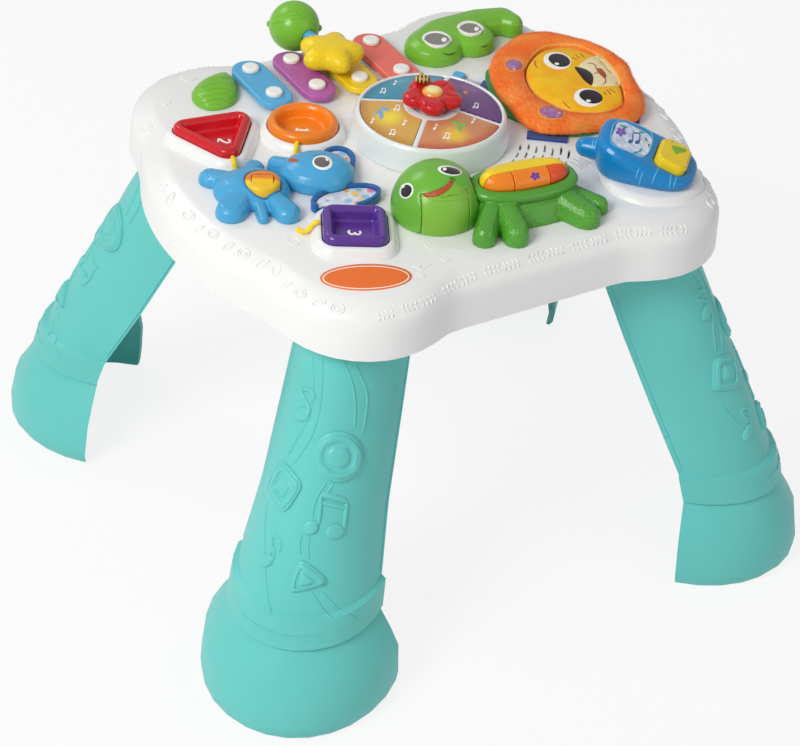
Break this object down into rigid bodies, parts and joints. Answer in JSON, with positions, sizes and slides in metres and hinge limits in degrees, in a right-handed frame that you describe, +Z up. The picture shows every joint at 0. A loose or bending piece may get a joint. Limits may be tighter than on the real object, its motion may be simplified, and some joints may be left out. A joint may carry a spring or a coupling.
{
  "type": "toy activity table",
  "caption": "Toddler's musical activity table: a lobed white deck on splayed half-shell legs, with a light dome, xylophone, shape buttons, animal toys and a phone.",
  "frame": {"origin": "on the floor, in the middle of the table's footprint", "axes": "+Z up; +X to the right and +Y away, seen from the long side where the turtle is, with the lion pad on the +X side"},
  "size_m": [0.5056, 0.4826, 0.3525],
  "materials": {
    "backing_green": "woven",
    "coral": "glossy",
    "dark_blue": "glossy",
    "dome_white": "glossy, slightly translucent",
    "elephant_blue": "glossy",
    "fur_orange": "plush",
    "gold": "glossy",
    "grey_print": "glossy printed",
    "housing_white": "satin moulded plastic",
    "label_orange": "printed film",
    "leaf_green": "glossy",
    "leg_teal": "satin moulded plastic",
    "lens_amber": "glossy translucent",
    "lens_purple": "glossy translucent",
    "lens_red": "glossy translucent",
    "lens_teal": "glossy translucent",
    "light_green": "glossy",
    "magenta": "glossy",
    "orange": "glossy",
    "orange_red": "glossy",
    "phone_blue": "glossy",
    "pin_white": "glossy",
    "plate_grey": "satin",
    "purple": "glossy",
    "red": "glossy",
    "screen_blue": "glossy printed",
    "screw_steel": "plated",
    "silver": "metallic",
    "sky_blue": "glossy",
    "speaker_black": "matt",
    "strap_blue": "woven ribbon",
    "turtle_green": "glossy",
    "underside_white": "matt moulded plastic",
    "yellow": "glossy"
  },
  "bodies": {
    "table": {"top_shell": "housing_white", "bottom_shell": "underside_white", "battery_door": "underside_white", "door_screw": "screw_steel", "housing_screws": "screw_steel", "speaker": "speaker_black", "front_left_leg": "leg_teal", "front_right_leg": "leg_teal", "back_right_leg": "leg_teal", "back_left_leg": "leg_teal", "dome_body": "dome_white", "window_amber": "lens_amber", "window_red": "lens_red", "window_purple": "lens_purple", "window_teal": "lens_teal", "elephant_body": "elephant_blue", "elephant_head": "elephant_blue", "ear_frames": "dark_blue", "ear_inserts": "grey_print", "balloon_strings": "yellow", "leaf": "leaf_green", "bar_blue": "sky_blue", "bar_purple": "magenta", "bar_yellow": "yellow", "bar_red": "coral", "bar_pins": "pin_white", "figure_body": "leaf_green", "figure_eyes": "silver", "switch_plate": "plate_grey", "lion_pad": "fur_orange", "lion_backing": "backing_green", "lion_straps": "strap_blue", "phone_body": "phone_blue", "phone_screen": "screen_blue", "turtle_body": "turtle_green", "turtle_head": "turtle_green", "turtle_jaw": "light_green", "label": "label_orange"},
    "flower": {"flower_button": "red", "flower_centre": "yellow", "bee": "gold"},
    "round_key": {"round_button": "orange"},
    "triangle_key": {"triangle_button": "red"},
    "square_key": {"square_button": "purple"},
    "yellow_key": {"key_yellow": "yellow"},
    "orange_key": {"key_orange": "orange"},
    "swirl_key": {"key_swirl": "orange"},
    "red_key": {"key_red": "orange_red"},
    "phone_key": {"call_button": "yellow"},
    "volume_knob": {"switch_knob": "sky_blue"},
    "roller": {"belly_roller": "orange"},
    "mallet": {"mallet_ball": "leaf_green", "mallet_handle": "sky_blue", "mallet_star": "yellow"}
  },
  "joints": [
    {"name": "flower_press", "type": "slide", "parent": "table", "child": "flower", "axis": [0, 0, -1], "range_m": [0, 0.0025], "stiffness_N_per_m": 300, "springref_m": -0.001},
    {"name": "round_press", "type": "slide", "parent": "table", "child": "round_key", "axis": [0, 0, -1], "range_m": [0, 0.003], "stiffness_N_per_m": 300, "springref_m": -0.001},
    {"name": "triangle_press", "type": "slide", "parent": "table", "child": "triangle_key", "axis": [0, 0, -1], "range_m": [0, 0.003], "stiffness_N_per_m": 300, "springref_m": -0.001},
    {"name": "square_press", "type": "slide", "parent": "table", "child": "square_key", "axis": [0, 0, -1], "range_m": [0, 0.003], "stiffness_N_per_m": 300, "springref_m": -0.001},
    {"name": "yellow_press", "type": "slide", "parent": "table", "child": "yellow_key", "axis": [0, 0, -1], "range_m": [0, 0.002], "stiffness_N_per_m": 300, "springref_m": -0.001},
    {"name": "orange_press", "type": "slide", "parent": "table", "child": "orange_key", "axis": [0, 0, -1], "range_m": [0, 0.002], "stiffness_N_per_m": 300, "springref_m": -0.001},
    {"name": "swirl_press", "type": "slide", "parent": "table", "child": "swirl_key", "axis": [0, 0, -1], "range_m": [0, 0.002], "stiffness_N_per_m": 300, "springref_m": -0.001},
    {"name": "red_press", "type": "slide", "parent": "table", "child": "red_key", "axis": [0, 0, -1], "range_m": [0, 0.002], "stiffness_N_per_m": 300, "springref_m": -0.001},
    {"name": "phone_press", "type": "slide", "parent": "table", "child": "phone_key", "axis": [-0.2185, 0.2185, -0.9511], "range_m": [0, 0.0025], "stiffness_N_per_m": 300, "springref_m": -0.001},
    {"name": "volume_slide", "type": "slide", "parent": "table", "child": "volume_knob", "axis": [0.6157, -0.788, 0], "range_m": [0, 0.0125]},
    {"name": "roller_spin", "type": "hinge", "parent": "table", "child": "roller", "pos_m": [-0.143, -0.019, 0.3189], "axis": [0.8829, -0.4695, 0], "continuous": true},
    {"name": "mallet_lift", "type": "slide", "parent": "table", "child": "mallet", "axis": [0, 0, 1], "range_m": [0, 0.15]}
  ]
}
